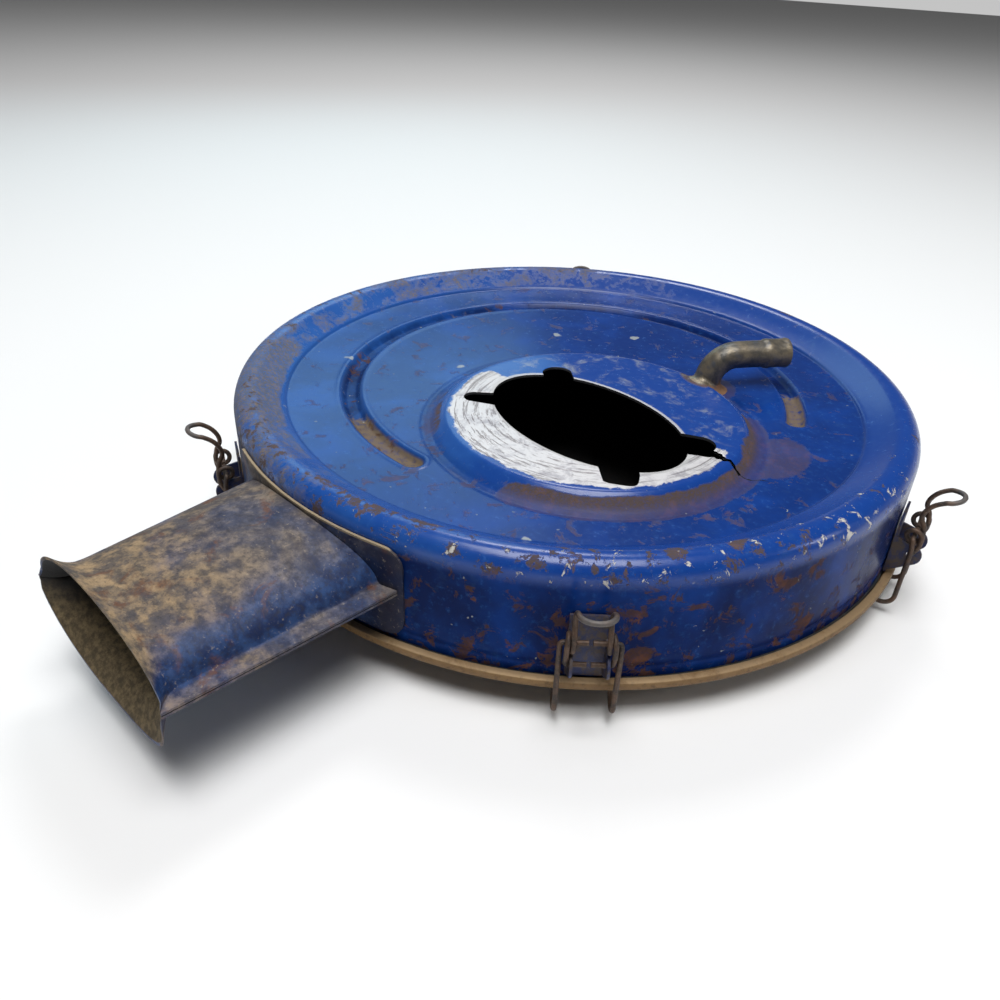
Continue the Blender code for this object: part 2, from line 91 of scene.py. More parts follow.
# Snorkel
SEAM_Z = 40.0
SNORKEL_SHEET = 1.0
FLANGE_HALF_AT_WALL = 51.2
FLANGE_HALF_AT_MOUTH = 48.4
FLANGE_WIDTH = 8.0
FAR_FLANGE_WIDTH = 3.0
FAR_TAPER = 5.0
NECK_DROP = 1.2
MOUTH_REACH = 241.6
SNORKEL_ROOT_RADIUS = 161.7
ARCH_TOP_Z = 57.0
ARCH_BOTTOM_Z = 24.0
UPPER_LIP_Z = 61.5
LOWER_LIP_Z = 16.5
SEAM_HALF_GAP = 0.15
FLARE_START = 0.84
SPREAD_START = 0.88
LIP_EDGE = 0.6
UPPER_LIP_BACK = 1.2
LOWER_LIP_AHEAD = 0.6
LOWER_LIP_SQUARING = 0.42
ARCH_STEPS = 40
SADDLE_OUTER = 161.3
SADDLE_TOP_Z = 58.3

# Breather tube
TUBE_FOOT = (47.5, 47.0)
TUBE_HEADING = 55.5
TUBE_RADIUS = 6.5
TUBE_BORE_RADIUS = 5.4
TUBE_BEAD_RADIUS = 7.25
TUBE_BEAD_LENGTH = 12.0
TUBE_BEND_RADIUS = 13.0
TUBE_AXIS_Z = 74.0
TUBE_REACH = 39.0
TUBE_SIDES = 40
BRAZE_SECTORS = 64

# Cover
COVER_RADIUS = 164.7
COVER_LIP_Z = 17.2
COVER_RING_Z = 12.9
COVER_SECTORS = 240

# Latches
LATCHES = {"front": -46.5, "right": 11.5, "left": -115.0, "back": 128.5}
WIRE_RADIUS = 1.0
LEVER_PIVOT = (168.0, 29.5)
HOOK_PIVOT = (167.5, 39.0)
EYE_RADIUS = 3.0
LEVER_HALF = 8.3
LEVER_TIP_HALF = 6.1
LEVER_RISE_RADIUS = 170.5
HOOK_HALF = 10.6
HOOK_LEG_RADIUS = 168.4
WIRE_GAP = 0.8
WIRE_SIDES = 14

# Floor and camera, in metres
FLOOR_HALF = 6
CAMERA_PLACE = (0.2399, -0.3015, 0.2359)
CAMERA_FORWARD = (-0.5759, 0.6097, -0.5446)
CAMERA_ROLL = 2.465
CAMERA_LENS = 30.6
CAMERA_SENSOR = 36.0

# Horizon and sky brightness, and how high up the change goes
HORIZON, SKY, SKY_HEIGHT = 0.55, 0.10, 0.20


def around(angle):
    """The cosine and sine of an angle in degrees."""
    return math.cos(math.radians(angle)), math.sin(math.radians(angle))


# -------------------- materials


class Graph:
    """Short calls that add nodes to one material. Lengths in it are millimetres."""

    def __init__(self, name):
        self.material = bpy.data.materials.new(name)
        self.material.use_nodes = True
        self.nodes = self.material.node_tree.nodes
        self.links = self.material.node_tree.links
        self.shader = self.nodes["Principled BSDF"]
        metres = self.nodes.new("ShaderNodeTexCoord").outputs["Object"]
        self.place = self.vector("SCALE", metres, None, 1 / MM)
        split = self.nodes.new("ShaderNodeSeparateXYZ")
        self.link(self.place, split.inputs[0])
        self.x, self.y, self.z = split.outputs
        self.radius = self.distance((0, 0, 0), flat=True)

    def link(self, source, socket):
        if isinstance(source, bpy.types.NodeSocket):
            self.links.new(source, socket)
        elif source is not None:
            if socket.type == "RGBA" and len(source) == 3:
                source = (*source, 1.0)
            socket.default_value = source

    def vector(self, operation, a, b=None, scale=None):
        node = self.nodes.new("ShaderNodeVectorMath")
        node.operation = operation
        self.link(a, node.inputs[0])
        if b is not None:
            self.link(b, node.inputs[1])
        if scale is not None:
            self.link(scale, node.inputs["Scale"])
        return node.outputs["Value" if operation in ("LENGTH", "DISTANCE", "DOT_PRODUCT") else 0]

    def math(self, operation, a, b=None):
        node = self.nodes.new("ShaderNodeMath")
        node.operation = operation
        for value, socket in zip((a, b), node.inputs):
            self.link(value, socket)
        return node.outputs[0]

    def add(self, *terms):
        total = terms[0]
        for term in terms[1:]:
            total = self.math("ADD", total, term)
        return total

    def times(self, *terms):
        total = terms[0]
        for term in terms[1:]:
            total = self.math("MULTIPLY", total, term)
        return total

    def most(self, *terms):
        total = terms[0]
        for term in terms[1:]:
            total = self.math("MAXIMUM", total, term)
        return total

    def inverse(self, value):
        return self.math("SUBTRACT", 1.0, value)

    def distance(self, point, flat=False, stretch=None):
        """How far the surface is from a point, in plan if flat."""
        offset = self.vector("SUBTRACT", self.place, point)
        if flat:
            offset = self.vector("MULTIPLY", offset, (1, 1, 0))
        if stretch:
            offset = self.vector("MULTIPLY", offset, stretch)
        return self.vector("LENGTH", offset)

    def toward(self, angle, centre=(0, 0), radius=None):
        """The cosine of the angle between this point, seen from centre, and a heading."""
        c, s = around(angle)
        offset = self.vector("SUBTRACT", self.place, (*centre, 0))
        along = self.vector("DOT_PRODUCT", offset, (c, s, 0))
        away = radius if radius is not None else self.distance((*centre, 0), flat=True)
        return self.math("DIVIDE", along, self.math("ADD", away, 0.01))

    def step(self, value, low, high):
        """0 below low and 1 above high, or the other way round if low is the larger."""
        node = self.nodes.new("ShaderNodeMapRange")
        node.interpolation_type = "SMOOTHSTEP"
        falling = low > high
        for socket, number in zip(list(node.inputs)[1:5], (
                min(low, high), max(low, high), 1.0 if falling else 0.0, 0.0 if falling else 1.0)):
            socket.default_value = number
        self.link(value, node.inputs[0])
        return node.outputs[0]

    def noise(self, size, detail=4.0, rough=0.6, warp=0.0, seed=0.0, place=None):
        """Noise whose patches are about size millimetres wide."""
        node = self.nodes.new("ShaderNodeTexNoise")
        shifted = self.vector("ADD", place or self.place, (seed * 37.0, seed * 91.0, seed * 53.0))
        self.link(shifted, node.inputs["Vector"])
        node.inputs["Scale"].default_value = 1.0 / size
        node.inputs["Detail"].default_value = detail
        node.inputs["Roughness"].default_value = rough
        node.inputs["Distortion"].default_value = warp
        return node.outputs[0]

    def spots(self, size, reach, seed=0.0):
        """Scattered rounded chips."""
        node = self.nodes.new("ShaderNodeTexVoronoi")
        wobble = self.noise(size * 0.5, 2.0, seed=seed + 3.0)
        bent = self.vector("ADD", self.place, (seed * 41.0, seed * 17.0, seed * 29.0))
        self.link(self.vector("ADD", bent, self.vector("SCALE", self.colour_of(wobble), None, size * 0.5)),
                  node.inputs["Vector"])
        node.inputs["Scale"].default_value = 1.0 / size
        return self.step(node.outputs["Distance"], reach, reach * 0.72)

    def colour_of(self, value):
        """One value as a vector with three equal parts."""
        node = self.nodes.new("ShaderNodeCombineXYZ")
        for socket in node.inputs:
            self.link(value, socket)
        return node.outputs[0]

    def mix(self, amount, a, b):
        """Colour a where amount is 0, and b where it is 1."""
        node = self.nodes.new("ShaderNodeMix")
        node.data_type = "RGBA"
        self.link(amount, node.inputs[0])
        self.link(a, node.inputs[6])
        self.link(b, node.inputs[7])
        return node.outputs[2]

    def blend(self, amount, a, b):
        """Number a where amount is 0, and b where it is 1."""
        node = self.nodes.new("ShaderNodeMix")
        self.link(amount, node.inputs[0])
        self.link(a, node.inputs[2])
        self.link(b, node.inputs[3])
        return node.outputs[0]

    def bump(self, height, depth, normal=None):
        """Raises the surface by height times depth, in millimetres."""
        node = self.nodes.new("ShaderNodeBump")
        node.inputs["Strength"].default_value = 1.0
        node.inputs["Distance"].default_value = depth * MM
        self.link(height, node.inputs["Height"])
        if normal:
            self.link(normal, node.inputs["Normal"])
        return node.outputs[0]

    def finish(self, colour, rough, metallic=None, normal=None, specular=0.5):
        """Fills the Principled shader and returns the material."""
        self.link(colour, self.shader.inputs["Base Color"])
        self.link(rough, self.shader.inputs["Roughness"])
        if metallic is not None:
            self.link(metallic, self.shader.inputs["Metallic"])
        if normal is not None:
            self.link(normal, self.shader.inputs["Normal"])
        if isinstance(specular, float):
            self.shader.inputs["Specular IOR Level"].default_value = specular
        else:
            self.link(specular, self.shader.inputs["Specular IOR Level"])
        return self.material


BLUE = (0.004, 0.043, 0.245)
BLUE_LIGHT = (0.025, 0.115, 0.38)
# Painted shade: the navy that darkens the wall
WALL_SHADE_NAVY = (0.0022, 0.0085, 0.058)
RUST_BROWN = (0.075, 0.038, 0.020)
RUST_ORANGE = (0.22, 0.085, 0.025)
DIRT_OCHRE = (0.17, 0.125, 0.07)
DIRT_GREY = (0.085, 0.085, 0.085)
BARE_WHITE = (0.60, 0.585, 0.595)
CHIP_GREY = (0.36, 0.38, 0.36)
# Near black, for the hairline crack and for painted shade on inside faces
CRACK_AND_SHADE_BLACK = (0.012, 0.012, 0.014)
STAIN_TEAL = (0.04, 0.10, 0.20)
RUST_DULL = (0.055, 0.043, 0.042)
CHIP_CREAM = (0.58, 0.55, 0.50)
SCRATCH = (0.22, 0.20, 0.205)
WORN_STAIN = (0.25, 0.235, 0.27)
HEM_METAL = (0.50, 0.49, 0.49)
MOUTH_OCHRE = (0.36, 0.245, 0.125)
DIRT_DARK = (0.075, 0.066, 0.062)
SNORKEL_RUST = (0.125, 0.052, 0.027)
SPECK_DARK = (0.030, 0.028, 0.032)
SPECK_PALE = (0.40, 0.33, 0.24)
PLATE_NAVY = (0.010, 0.014, 0.04)
PLATE_EDGE_HIGHLIGHT = (0.38, 0.30, 0.19)


def housing_paint():
    g = Graph("worn_blue_paint")
    cloud = g.noise(38, 4, 0.6, 0.4)
    fine = g.noise(3.2, 5, 0.7)
    grain = g.noise(0.9, 3, 0.6, seed=2)
    on_top = g.step(g.z, 54.5, 60.0)
    on_disc = g.step(g.radius, 139.0, 137.0)
    on_roll = g.times(on_top, g.step(g.radius, 146.0, 150.0))
    on_wall = g.inverse(on_top)

    # Lighter blue toward one side: partly faded paint, partly a painted sheen
    fade_and_sheen = g.add(g.times(g.toward(-140), 0.42), g.times(cloud, 0.7))
    blue = g.mix(g.step(fade_and_sheen, 0.30, 0.95), BLUE, BLUE_LIGHT)
    # Painted shade: the wall darkened to patchy navy, as under a light from above only
    blue = g.mix(g.times(on_wall, g.step(cloud, 0.25, 0.6), 0.92), blue, WALL_SHADE_NAVY)
    blue = g.mix(g.times(g.step(fine, 0.52, 0.72), 0.30), blue, BLUE_LIGHT)
    blue = g.mix(g.times(g.step(g.noise(7, 5, 0.75, seed=5), 0.55, 0.7), 0.14), blue, STAIN_TEAL)

    # Grey-ochre grime on the back-left band, in the groove and beside the snorkel
    band = g.times(g.step(g.radius, 136.5, 140.0), g.step(g.toward(176), 0.05, 0.75))
    snorkel_side = g.times(g.step(g.radius, 137.5, 141.0), g.step(g.toward(-112), 0.80, 0.97))
    ragged = g.add(g.times(g.noise(16, 6, 0.72, 0.6, seed=1), 0.75), g.times(fine, 0.25))
    grime = g.step(g.add(ragged, g.times(band, 0.17), g.times(snorkel_side, 0.20), -0.08), 0.52, 0.70)
    grime = g.times(grime, g.most(band, snorkel_side))
    groove_band = g.step(g.math("ABSOLUTE", g.math("SUBTRACT", g.radius, GROOVE_RADIUS)), 5.6, 3.6)
    front_end = g.times(g.step(g.toward(-92), 0.90, 0.99), 0.35)
    right_end = g.times(g.step(g.toward(28), 0.93, 1.0), 0.26)
    groove_dirt = g.times(groove_band, g.step(g.z, DISC_Z - 0.1, DISC_Z - 1.5),
                          g.step(g.add(ragged, front_end, right_end), 0.60, 0.70))
    dirt = g.mix(g.step(fine, 0.42, 0.66), DIRT_GREY, DIRT_OCHRE)
    colour = g.mix(g.times(grime, g.blend(g.step(grain, 0.35, 0.62), 0.35, 0.92)), blue, dirt)
    colour = g.mix(g.times(groove_dirt, g.blend(g.step(fine, 0.3, 0.55), 0.35, 0.85)), colour, DIRT_OCHRE)

    # Rust: round the collar's foot, at the torn notch, under the tube, over wall and rim
    from_collar = g.distance((*COLLAR_CENTRE, 0), flat=True)
    collar_band = g.times(g.step(from_collar, 64.5, 70.5), g.step(from_collar, 84.0, 75.0))
    front_arc = g.step(g.toward(-42, COLLAR_CENTRE, from_collar), 0.62, 0.86)
    left_arc = g.times(g.step(g.toward(-138, COLLAR_CENTRE, from_collar), 0.86, 0.98), 0.7)
    right_arc = g.step(g.toward(22, COLLAR_CENTRE, from_collar), 0.76, 0.93)
    ring = g.times(collar_band, g.most(front_arc, left_arc, right_arc))
    patch = g.step(g.distance((106, 9, DISC_Z), stretch=(1.0, 0.72, 1.0)), 24.0, 9.0)
    tail = g.times(g.step(g.distance((125, 18, DISC_Z), stretch=(0.8, 1.0, 1.0)), 26.0, 4.0), 0.50)
    foot = g.step(g.distance((*TUBE_FOOT, DISC_Z)), 23.0, 9.0)
    weight = g.most(g.times(ring, 0.95), g.times(patch, 0.9), tail, g.times(foot, 0.92))
    rust_edge = g.add(g.times(weight, 0.62), g.times(ragged, 0.62))
    rust = g.times(g.step(rust_edge, 0.66, 0.76), on_top)
    wall_weight = g.add(g.times(g.step(g.z, 34.0, 17.0), 0.045),
                        g.times(g.step(g.toward(-60), 0.3, 0.95), 0.03))
    wall_rust = g.times(on_wall, g.step(g.add(g.noise(11, 6, 0.7, 0.5, seed=7), wall_weight), 0.585, 0.64))
    front_rim = g.times(g.step(g.toward(-62), 0.2, 0.95), 0.075)
    left_rim = g.times(g.step(g.toward(180), 0.4, 0.95), 0.05)
    rim_edge = g.add(g.noise(9, 6, 0.75, 0.4, seed=9), front_rim, left_rim)
    rim_rust = g.times(on_roll, g.step(rim_edge, 0.61, 0.65))
    rust = g.most(rust, g.times(wall_rust, 0.85), rim_rust)
    orange = g.step(g.noise(6, 4, 0.6, seed=4), 0.48, 0.68)
    hot = g.step(g.distance((TUBE_FOOT[0] + 5, TUBE_FOOT[1] - 7, DISC_Z)), 12.0, 3.0)
    rust_colour = g.mix(g.most(g.times(orange, 0.45), hot), RUST_BROWN, RUST_ORANGE)
    rust_colour = g.mix(g.times(on_top, 0.55), rust_colour, RUST_DULL)
    colour = g.mix(g.times(rust, g.blend(g.step(grain, 0.3, 0.6), 0.72, 1.0)), colour, rust_colour)

    # Chips down to a pale undercoat
    toward_front = g.step(g.toward(-30), 0.45, 0.98)
    right_scrape = g.times(g.step(g.toward(-3), 0.94, 0.99), g.step(g.radius, 141.0, 146.0))
    chip_noise = g.add(g.noise(5.5, 6, 0.75, 0.5, seed=12), g.times(toward_front, on_roll, 0.062),
                       g.times(right_scrape, 0.035), g.times(on_wall, -0.02))
    chips = g.step(chip_noise, 0.675, 0.695)
    dabs = g.times(on_disc, g.spots(34, 0.085, seed=2), g.step(cloud, 0.35, 0.45), g.step(g.z, 61.0, 60.0))
    small = g.times(g.spots(9, 0.06, seed=6), on_wall)
    chips = g.most(chips, g.times(dabs, 0.8), g.times(small, 0.75))
    chip_colour = g.mix(g.times(toward_front, on_roll), CHIP_GREY, CHIP_CREAM)
    colour = g.mix(g.times(chips, 0.9), colour, chip_colour)

    # The seat, worn to pale metal with turning marks
    seat = g.times(g.step(g.z, 61.9, 62.8), g.step(from_collar, 67.5, 64.5))
    worn_side = g.most(g.step(g.toward(-105, COLLAR_CENTRE, from_collar), 0.16, 0.40),
                       g.times(g.step(g.toward(-20, COLLAR_CENTRE, from_collar), 0.72, 0.88), 0.95),
                       g.times(g.step(g.toward(48, COLLAR_CENTRE, from_collar), 0.965, 1.0),
                               g.step(from_collar, 58.0, 62.0), 0.62))
    inward = g.step(from_collar, 66.5, 60.5)
    wear_edge = g.add(g.times(worn_side, 0.50), g.times(inward, 0.24), g.times(ragged, 0.62))
    worn = g.times(seat, g.step(wear_edge, 0.88, 0.95))
    turn = g.nodes.new("ShaderNodeCombineXYZ")
    g.link(from_collar, turn.inputs[0])
    g.link(g.times(g.toward(0, COLLAR_CENTRE, from_collar), 6.0), turn.inputs[1])
    lines = g.noise(1.1, 4, 0.7, place=turn.outputs[0], seed=8)
    streak = g.step(lines, 0.53, 0.62)
    bare = g.mix(g.times(streak, 0.8), BARE_WHITE, SCRATCH)
    stain = g.step(g.noise(9, 6, 0.7, 0.5, seed=14), 0.48, 0.66)
    bare = g.mix(g.times(stain, 0.62), bare, WORN_STAIN)
    colour = g.mix(worn, colour, bare)
    smears = g.step(g.noise(11, 6, 0.7, 0.5, seed=18), 0.50, 0.72)
    colour = g.mix(g.times(seat, g.step(worn_side, 0.5, 0.2), smears, 0.5), colour, CHIP_GREY)

    # Bare metal along the opening's edge
    c, s = around(OPENING_ANGLE)
    offset = g.vector("SUBTRACT", g.place, (*OPENING_CENTRE, 0))
    squares = []
    for heading, half in (((c, s, 0), OPENING_HALF_LENGTH), ((-s, c, 0), OPENING_HALF_WIDTH)):
        away = g.math("ABSOLUTE", g.vector("DOT_PRODUCT", offset, heading))
        squares.append(g.math("POWER", g.times(away, 1 / half), 2.0))
    oval = g.add(*squares)
    hem = g.times(g.step(g.add(oval, g.times(ragged, 0.05)), 1.12, 1.07), g.step(g.z, 61.0, 62.0))
    colour = g.mix(g.times(hem, 0.8), colour, HEM_METAL)

    # The crack runs on as a hairline past the end of the tear
    start, stop = (from_opening(*point) for point in HAIRLINE)
    run = math.hypot(stop[0] - start[0], stop[1] - start[1])
    ux, uy = (stop[0] - start[0]) / run, (stop[1] - start[1]) / run
    offset = g.vector("SUBTRACT", g.place, (*start, 0))
    along = g.vector("DOT_PRODUCT", offset, (ux, uy, 0))
    across = g.math("ABSOLUTE", g.add(g.vector("DOT_PRODUCT", offset, (-uy, ux, 0)),
                                      g.times(g.math("SUBTRACT", g.noise(5, 2, seed=31), 0.5), 3.0)))
    hairline = g.times(g.step(across, 0.42, 0.18), g.step(along, -0.5, 0.2),
                       g.step(along, run, run - 2.0), on_disc)
    colour = g.mix(hairline, colour, CRACK_AND_SHADE_BLACK)

    rough = g.blend(g.most(rust, grime, groove_dirt), 0.24, 0.78)
    rough = g.add(rough, g.times(g.math("SUBTRACT", fine, 0.5), 0.22))
    rough = g.blend(worn, rough, 0.46)
    height = g.add(g.times(rust, -0.5, g.inverse(g.times(grain, 0.9))), g.times(chips, -0.35),
                   g.times(grime, grain, 0.5), g.times(worn, streak, -0.3))
    normal = g.bump(height, 0.35)
    normal = g.bump(g.noise(30, 2, 0.5, seed=21), 0.12, normal)
    specular = g.blend(on_wall, 0.42, 0.05)
    return g.finish(colour, rough, g.times(worn, 0.35), normal, specular)


def snorkel_paint():
    g = Graph("dirty_snorkel_paint")
    cloud = g.noise(34, 6, 0.55, 0.5, seed=3)
    fine = g.noise(6.0, 7, 0.62, seed=1)
    speck = g.noise(1.7, 5, 0.7, seed=6)
    blue = g.mix(g.step(fine, 0.35, 0.65), (0.008, 0.018, 0.065), (0.022, 0.055, 0.155))
    dirt = g.mix(g.step(fine, 0.30, 0.72), (0.10, 0.080, 0.060), (0.26, 0.205, 0.145))
    near_mouth = g.times(g.step(g.y, -175.0, -225.0), g.step(fine, 0.36, 0.58))
    dirt = g.mix(g.times(near_mouth, 0.8), dirt, MOUTH_OCHRE)
    dirt = g.mix(g.times(g.step(g.noise(12, 5, 0.7, seed=8), 0.42, 0.62), 0.85), dirt, DIRT_DARK)
    upper = g.step(g.z, 45.0, 54.5)
    flange = g.times(g.step(g.math("ABSOLUTE", g.x), 41.0, 44.0), g.step(g.z, 44.0, 41.4))
    mouth = g.step(g.y, -200.0, -232.0)
    cover = g.add(g.times(cloud, 0.66), g.times(fine, 0.24), g.times(upper, 0.22), g.times(flange, 0.17),
                  g.times(mouth, upper, 0.08), -0.04)
    dusty = g.step(cover, 0.44, 0.72)
    colour = g.mix(g.times(dusty, 0.93), blue, dirt)
    rust = g.step(g.add(g.noise(17, 6, 0.70, 0.6, seed=11), g.times(flange, 0.03)), 0.55, 0.68)
    colour = g.mix(g.times(rust, 0.72), colour, SNORKEL_RUST)
    colour = g.mix(g.times(g.step(speck, 0.50, 0.34), 0.5), colour, SPECK_DARK)
    # The saddle plate shares this paint: navy right of the snorkel, with a painted highlight along its top
    # edge
    off_plate, on_plate = SADDLE_OUTER + 0.3, SADDLE_OUTER + 0.1
    shade = g.math("MINIMUM", g.step(g.z, SADDLE_TOP_Z + 0.6, SADDLE_TOP_Z),
                   g.step(g.radius, SADDLE_OUTER + 0.6, SADDLE_OUTER + 0.2))
    edge = g.times(g.step(g.radius, off_plate, on_plate),
                   g.step(g.z, SADDLE_TOP_Z - 1.1, SADDLE_TOP_Z - 0.5))
    plate = g.times(g.step(g.radius, off_plate, on_plate), g.step(g.x, 30.0, 46.0),
                    g.step(g.z, 57.4, 55.0))
    colour = g.mix(g.times(plate, 0.85, shade), colour, PLATE_NAVY)
    # Painted highlight on the plate's top edge
    colour = g.mix(g.times(edge, 0.8), colour, PLATE_EDGE_HIGHLIGHT)
    grain = g.add(g.times(speck, 0.5), g.times(fine, 0.5))
    colour = g.mix(g.times(g.step(speck, 0.58, 0.72), 0.42), colour, SPECK_PALE)
    rough = g.blend(dusty, 0.42, 0.85)
    return g.finish(colour, rough, 0.0, g.bump(grain, 0.28), 0.22)


def snorkel_inside():
    g = Graph("snorkel_inside_dirt_and_shade")
    cloud = g.noise(22, 5, 0.65, 0.4, seed=13)
    fine = g.noise(2.5, 5, 0.7, seed=15)
    ochre = g.mix(g.step(fine, 0.35, 0.7), (0.06, 0.045, 0.026), (0.17, 0.125, 0.065))
    # Painted shade: near black deep in the duct, with ochre dirt toward the mouth's lower lip
    dark = g.mix(cloud, (0.008, 0.009, 0.013), (0.022, 0.020, 0.017))
    lip = g.add(g.times(g.step(g.y, -205.0, -246.0), 0.55), g.times(g.step(g.z, 40.0, 24.0), 0.35),
                g.times(g.step(g.x, -30.0, 40.0), 0.18), g.times(cloud, 0.35))
    colour = g.mix(g.times(g.step(lip, 0.55, 1.0), g.step(g.z, 41.0, 36.0)), dark, ochre)
    return g.finish(colour, 0.85, 0.0, g.bump(fine, 0.25), 0.3)


def cover_metal():
    g = Graph("rusty_cover")
    cloud = g.noise(15, 5, 0.7, 0.4, seed=2)
    fine = g.noise(2.2, 5, 0.7, seed=5)
    ochre = g.mix(cloud, (0.12, 0.06, 0.018), (0.28, 0.165, 0.06))
    colour = g.mix(g.step(fine, 0.5, 0.7), ochre, (0.10, 0.055, 0.02))
    worn_edge = g.times(g.step(g.z, 16.5, 17.1), g.step(cloud, 0.3, 0.5))
    colour = g.mix(g.times(worn_edge, 0.6), colour, (0.40, 0.29, 0.17))
    # Painted shade: the lid's inside is near black, for the dark interior
    within = g.step(g.radius, 159.0, 152.0)
    inner = g.mix(g.step(fine, 0.4, 0.7), CRACK_AND_SHADE_BLACK, (0.03, 0.026, 0.022))
    colour = g.mix(g.times(within, g.step(g.z, -0.1, 0.4)), colour, inner)
    return g.finish(colour, g.blend(fine, 0.5, 0.8), g.times(worn_edge, 0.5), g.bump(fine, 0.2))


def tube_steel():
    g = Graph("stained_tube_steel")
    cloud = g.noise(9, 5, 0.65, 0.4, seed=4)
    fine = g.noise(1.6, 5, 0.7, seed=2)
    colour = g.mix(g.step(cloud, 0.35, 0.62), (0.075, 0.072, 0.065), (0.20, 0.165, 0.115))
    bluish = g.step(g.noise(7, 4, 0.6, seed=9), 0.55, 0.68)
    colour = g.mix(g.times(bluish, 0.5), colour, (0.07, 0.09, 0.13))
    foot = g.step(g.z, 68.0, 57.0)
    rust = g.step(g.add(g.times(fine, 0.35), g.times(cloud, 0.35), g.times(foot, 0.30)), 0.50, 0.62)
    colour = g.mix(g.times(rust, 0.75), colour, (0.20, 0.085, 0.03))
    rough = g.blend(rust, 0.36, 0.75)
    return g.finish(colour, rough, g.blend(rust, 0.55, 0.05), g.bump(fine, 0.22))


def wire_steel():
    g = Graph("rusty_wire")
    cloud = g.noise(5, 4, 0.6, seed=3)
    fine = g.noise(0.9, 4, 0.7, seed=1)
    colour = g.mix(g.step(cloud, 0.35, 0.65), (0.035, 0.028, 0.026), (0.105, 0.062, 0.04))
    colour = g.mix(g.times(g.step(fine, 0.5, 0.7), 0.6), colour, (0.17, 0.12, 0.085))
    tip = g.times(g.step(g.x, 6.0, 11.0), 0.5)
    colour = g.mix(tip, colour, (0.17, 0.165, 0.165))
    return g.finish(colour, g.blend(fine, 0.42, 0.7), 0.45, g.bump(fine, 0.12))


def bracket_steel():
    g = Graph("dark_bracket_paint")
    cloud = g.noise(5, 5, 0.7, 0.4, seed=6)
    fine = g.noise(1.2, 4, 0.7, seed=2)
    colour = g.mix(g.step(cloud, 0.40, 0.62), (0.012, 0.022, 0.085), (0.07, 0.05, 0.04))
    colour = g.mix(g.times(g.step(fine, 0.62, 0.75), 0.4), colour, (0.20, 0.19, 0.19))
    return g.finish(colour, g.blend(cloud, 0.3, 0.7), 0.2, g.bump(fine, 0.15))


def grimy(name, low, high, size=3.0, rough=0.85):
    g = Graph(name)
    fine = g.noise(size, 5, 0.7, seed=3)
    return g.finish(g.mix(g.step(fine, 0.35, 0.7), low, high), rough, 0.0, g.bump(fine, 0.2))


# -------------------- mesh helpers


def mesh_piece(name, points, faces, material, body="root", node=None):
    """A smooth-shaded piece from millimetre points, riding on a body and standing for a CAD node."""
    mesh = bpy.data.meshes.new(name)
    mesh.from_pydata([tuple(float(c) * MM for c in p) for p in points], [], faces)
    shape = bmesh.new()
    shape.from_mesh(mesh)
    bmesh.ops.recalc_face_normals(shape, faces=shape.faces)
    shape.to_mesh(mesh)
    shape.free()
    mesh.polygons.foreach_set("use_smooth", [True] * len(mesh.polygons))
    mesh.set_sharp_from_angle(angle=math.radians(SHARP_ANGLE))
    mesh.materials.append(material)
    obj = bpy.data.objects.new(name, mesh)
    bpy.context.scene.collection.objects.link(obj)
    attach(obj, body)
    if node:
        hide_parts(node)
    return obj


def strips(rings, closed=False):
    """Points and faces of equal rings joined in order, with a cap at each end unless closed."""
    count = len(rings[0])
    points = [p for ring in rings for p in ring]
    faces = []
    for i in range(len(rings) if closed else len(rings) - 1):
        here = i * count
        there = (i + 1) % len(rings) * count
        for j in range(count):
            k = (j + 1) % count
            faces.append((here + j, here + k, there + k, there + j))
    if not closed:
        last = (len(rings) - 1) * count
        faces.append(tuple(range(count)))
        faces.append(tuple(range(last, last + count)))
    return points, faces


def revolved(profile, segments):
    """A closed outline of (radius, z) turned about the Z axis."""
    rings = []
    for i in range(segments):
        c, s = around(360.0 * i / segments)
        rings.append([(r * c, r * s, z) for r, z in profile])
    return strips(rings, closed=True)


def arc(centre, radius, start, end, steps):
    points = []
    for i in range(steps + 1):
        c, s = around(start + (end - start) * i / steps)
        points.append((centre[0] + radius * c, centre[1] + radius * s))
    return points


def tube_rings(path, radii, sides):
    """Circles square to a path, carried along it without twist."""
    path = np.asarray(path, float)
    legs = np.diff(path, axis=0)
    legs /= np.linalg.norm(legs, axis=1)[:, None]
    tangents = np.vstack([legs[:1], legs[:-1] + legs[1:], legs[-1:]])
    tangents /= np.linalg.norm(tangents, axis=1)[:, None]
    side = np.cross(tangents[0], (0.3, 0.2, 0.9))
    rings = []
    for point, tangent, radius in zip(path, tangents, radii):
        side = side - tangent * np.dot(side, tangent)
        side /= np.linalg.norm(side)
        up = np.cross(tangent, side)
        ring = []
        for j in range(sides):
            c, s = around(360.0 * j / sides)
            ring.append(tuple(point + radius * (c * side + s * up)))
        rings.append(ring)
    return rings


# -------------------- canister


def ramp(value, sharpness=14.0):
    """A line from 0 to 1 with softly rounded ends."""
    low = np.logaddexp(0, sharpness * value)
    high = np.logaddexp(0, sharpness * (value - 1))
    return (low - high) / sharpness


